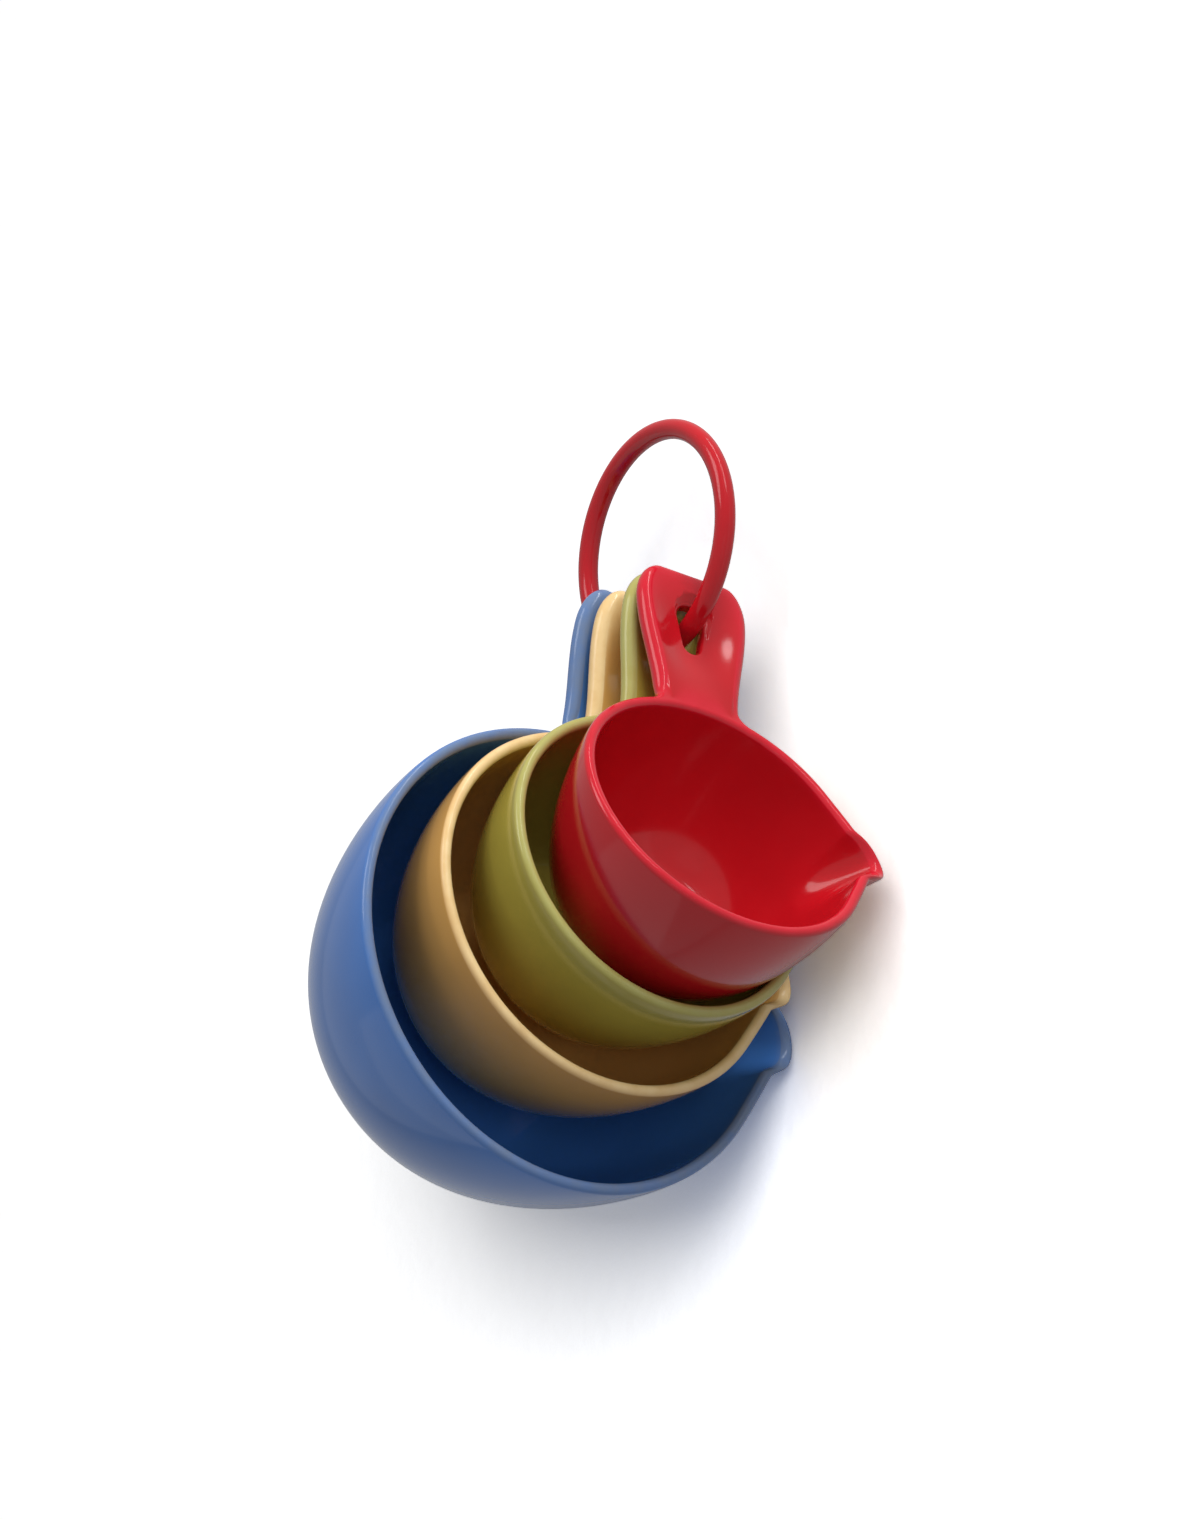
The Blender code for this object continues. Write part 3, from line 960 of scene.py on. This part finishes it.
@dataclass(frozen=True)
class Studio:
    """Wall, sky, lamps and camera, in millimetres."""

    aim: tuple[float, float, float] = (10.0, -15.0, -75.0)
    wall_distance: float = 34.6
    wall_side: float = 2600.0
    wall_turn: float = -84.0
    wall_white: Backdrop = Backdrop(lighting=0.55, mirrored=1.0, seen=2.3)
    stipple_scale: float = 190.0
    stipple_detail: float = 3.0
    stipple_strength: float = 0.2
    stipple_height: float = 1.2
    camera_place: tuple[float, float, float] = (552.35, -387.47, -157.12)
    camera_turn: tuple[float, float, float] = (97.629, -4.413, 55.016)
    lens: float = 79.584
    picture_height: float = 36.0
    nearest: float = 10.0
    sky: Backdrop = Backdrop(lighting=0.2, mirrored=0.5, seen=1.0)
    lamps: tuple[Lamp, ...] = (
        Lamp("key_box", (-240.0, -1900.0, 1340.0), 900.0, 1200.0, 11.0, mirrored=True),
        Lamp("side_box", (-1025.0, -1510.0, 1305.0), 400.0, 400.0, 8.0),
        Lamp("top_box", (620.0, -330.0, 1350.0), 600.0, 1600.0, 20.0),
        Lamp("top_strip", (520.0, -60.0, 1350.0), 120.0, 1500.0, 4.0, mirrored=True),
        Lamp("fill_box", (1150.0, -640.0, -60.0), 500.0, 500.0, 3.0),
        Lamp("low_card", (-590.0, -690.0, -955.0), 1200.0, 1200.0, 1.0, mirrored=True),
        Lamp("wall_box", (1254.0, -1267.0, 278.0), 850.0, 850.0, 15.5, lights=Lit.WALL),
    )

    def build(self) -> None:
        """Sets up the whole studio."""
        bpy.context.scene.view_settings.view_transform = "Standard"
        self.build_world()
        wall = self.build_wall()
        for lamp in self.lamps:
            self.build_lamp(lamp, wall)
        self.build_camera()

    def build_world(self) -> None:
        """A weak even sky, paler in mirrors and plain white to the camera."""
        world = bpy.data.worlds.new("studio_sky")
        world.use_nodes = True
        sky = world.node_tree.nodes["Background"]
        sky.inputs["Color"].default_value = (1.0, 1.0, 1.0, 1.0)
        world.node_tree.links.new(self.sky.socket(world.node_tree), sky.inputs["Strength"])
        bpy.context.scene.world = world

    def build_wall(self) -> bpy.types.Object:
        """Stands a painted wall behind the set: one upright square, seen only from its front.

        Returns:
            The wall.
        """
        turn = math.radians(self.wall_turn)
        normal = np.array([math.cos(turn), math.sin(turn), 0.0])
        across = np.array([-normal[1], normal[0], 0.0])
        up = np.array([0.0, 0.0, 1.0])
        middle = -normal * self.wall_distance + up * self.aim[2]
        half = self.wall_side / 2
        corners = [middle + half * (a * across + b * up) for a, b in ((-1, -1), (1, -1), (1, 1), (-1, 1))]
        mesh = bpy.data.meshes.new("painted_wall")
        mesh.from_pydata((np.array(corners) * MM).tolist(), [], [(0, 1, 2, 3)])
        mesh.materials.append(self.wall_paint())
        wall = link_mesh("painted_wall", mesh)
        return wall

    def wall_paint(self) -> bpy.types.Material:
        """Makes white roller-painted plaster that keeps shadows and is clear from behind.

        Returns:
            The material, whitest to the camera.
        """
        material = bpy.data.materials.new("wall_paint")
        material.use_nodes = True
        nodes, links = material.node_tree.nodes, material.node_tree.links
        nodes.remove(nodes["Principled BSDF"])
        paint = nodes.new("ShaderNodeBsdfDiffuse")
        place = nodes.new("ShaderNodeTexCoord")
        stipple = nodes.new("ShaderNodeTexNoise")
        stipple.inputs["Scale"].default_value = self.stipple_scale
        stipple.inputs["Detail"].default_value = self.stipple_detail
        bump = nodes.new("ShaderNodeBump")
        bump.inputs["Strength"].default_value = self.stipple_strength
        bump.inputs["Distance"].default_value = self.stipple_height * MM
        links.new(place.outputs["Object"], stipple.inputs["Vector"])
        links.new(stipple.outputs["Fac"], bump.inputs["Height"])
        links.new(bump.outputs["Normal"], paint.inputs["Normal"])
        links.new(self.wall_white.socket(material.node_tree), paint.inputs["Color"])
        clear = nodes.new("ShaderNodeBsdfTransparent")
        side = nodes.new("ShaderNodeNewGeometry")
        mix = nodes.new("ShaderNodeMixShader")
        links.new(side.outputs["Backfacing"], mix.inputs["Fac"])
        links.new(paint.outputs["BSDF"], mix.inputs[1])
        links.new(clear.outputs["BSDF"], mix.inputs[2])
        links.new(mix.outputs["Shader"], nodes["Material Output"].inputs["Surface"])
        return material

    def build_lamp(self, lamp: Lamp, wall: bpy.types.Object) -> None:
        """Stands one soft box, turned to the middle of the set and flagged off the wall or off the set.

        Args:
            lamp: The soft box.
            wall: The wall, which its flag names.
        """
        data = bpy.data.lights.new(lamp.name, "AREA")
        data.shape = "RECTANGLE"
        data.size, data.size_y = lamp.width * MM, lamp.height * MM
        data.energy = lamp.power
        obj = bpy.data.objects.new(lamp.name, data)
        obj.location = Vector(lamp.place) * MM
        obj.rotation_euler = (Vector(self.aim) - Vector(lamp.place)).to_track_quat("-Z", "Y").to_euler()
        obj.visible_glossy = lamp.mirrored
        flag = bpy.data.collections.new(f"{lamp.name}_flag")
        flag.objects.link(wall)
        flag.collection_objects[0].light_linking.link_state = lamp.lights.value
        obj.light_linking.receiver_collection = flag
        bpy.context.scene.collection.objects.link(obj)

    def build_camera(self) -> None:
        """The viewing angle and framing of an upright picture."""
        data = bpy.data.cameras.new("camera")
        data.sensor_fit = "VERTICAL"
        data.sensor_height = self.picture_height
        data.lens = self.lens
        data.clip_start = self.nearest * MM
        obj = bpy.data.objects.new("camera", data)
        obj.location = Vector(self.camera_place) * MM
        obj.rotation_euler = Euler([math.radians(angle) for angle in self.camera_turn])
        bpy.context.scene.collection.objects.link(obj)
        bpy.context.scene.camera = obj


# The second colour of each finish is the paler sheen painted on lips and edges.
RED_GLOSS = Gloss("red_gloss", (0.56, 0.008, 0.015), (0.66, 0.012, 0.03))
GREEN_GLOSS = Gloss("green_gloss", (0.43, 0.36, 0.06), (0.47, 0.46, 0.16))
YELLOW_GLOSS = Gloss("yellow_gloss", (0.72, 0.39, 0.11), (0.92, 0.69, 0.36))
BLUE_GLOSS = Gloss("blue_gloss", (0.06, 0.21, 0.62), (0.16, 0.23, 0.38))
RING = HangingRing()
CUPS = (
    Cup(
        body=Body.BLUE,
        gloss=BLUE_GLOSS,
        rim_radius=48.3,
        depth=49.4,
        base_radius=26.6,
        spout_reach=9.0,
        spout_width=16.0,
        ring_angle=-23.4,
        tilt=18.8,
        spin=15.5,
        wire_seat=22.0,
    ),
    Cup(
        body=Body.YELLOW,
        gloss=YELLOW_GLOSS,
        rim_radius=38.6,
        depth=41.4,
        base_radius=21.2,
        spout_reach=9.0,
        spout_width=14.0,
        ring_angle=-6.1,
        tilt=22.1,
        spin=15.6,
        wire_seat=21.0,
    ),
    Cup(
        body=Body.GREEN,
        gloss=GREEN_GLOSS,
        rim_radius=33.2,
        depth=36.4,
        base_radius=18.3,
        spout_reach=7.6,
        spout_width=13.0,
        ring_angle=18.0,
        tilt=27.0,
        spin=14.4,
        wire_seat=18.95,
    ),
    Cup(
        body=Body.RED,
        gloss=RED_GLOSS,
        rim_radius=30.6,
        depth=33.8,
        base_radius=16.9,
        spout_reach=9.2,
        spout_width=13.0,
        ring_angle=34.9,
        tilt=39.6,
        spin=11.1,
        wire_seat=20.4,
    ),
)


def main() -> None:
    """Loads the solids, builds the set around them and sets up the studio."""
    logging.basicConfig(level=logging.INFO, format="%(name)s: %(message)s")
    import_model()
    Studio().build()
    surface = MouldedSurface()
    pieces = [RING.build(RED_GLOSS, surface)]
    pieces += [cup.build(RING, surface) for cup in CUPS]
    for piece in pieces:
        log.info("%s: %d faces", piece.name, len(piece.data.polygons))


if __name__ == "__main__":
    main()
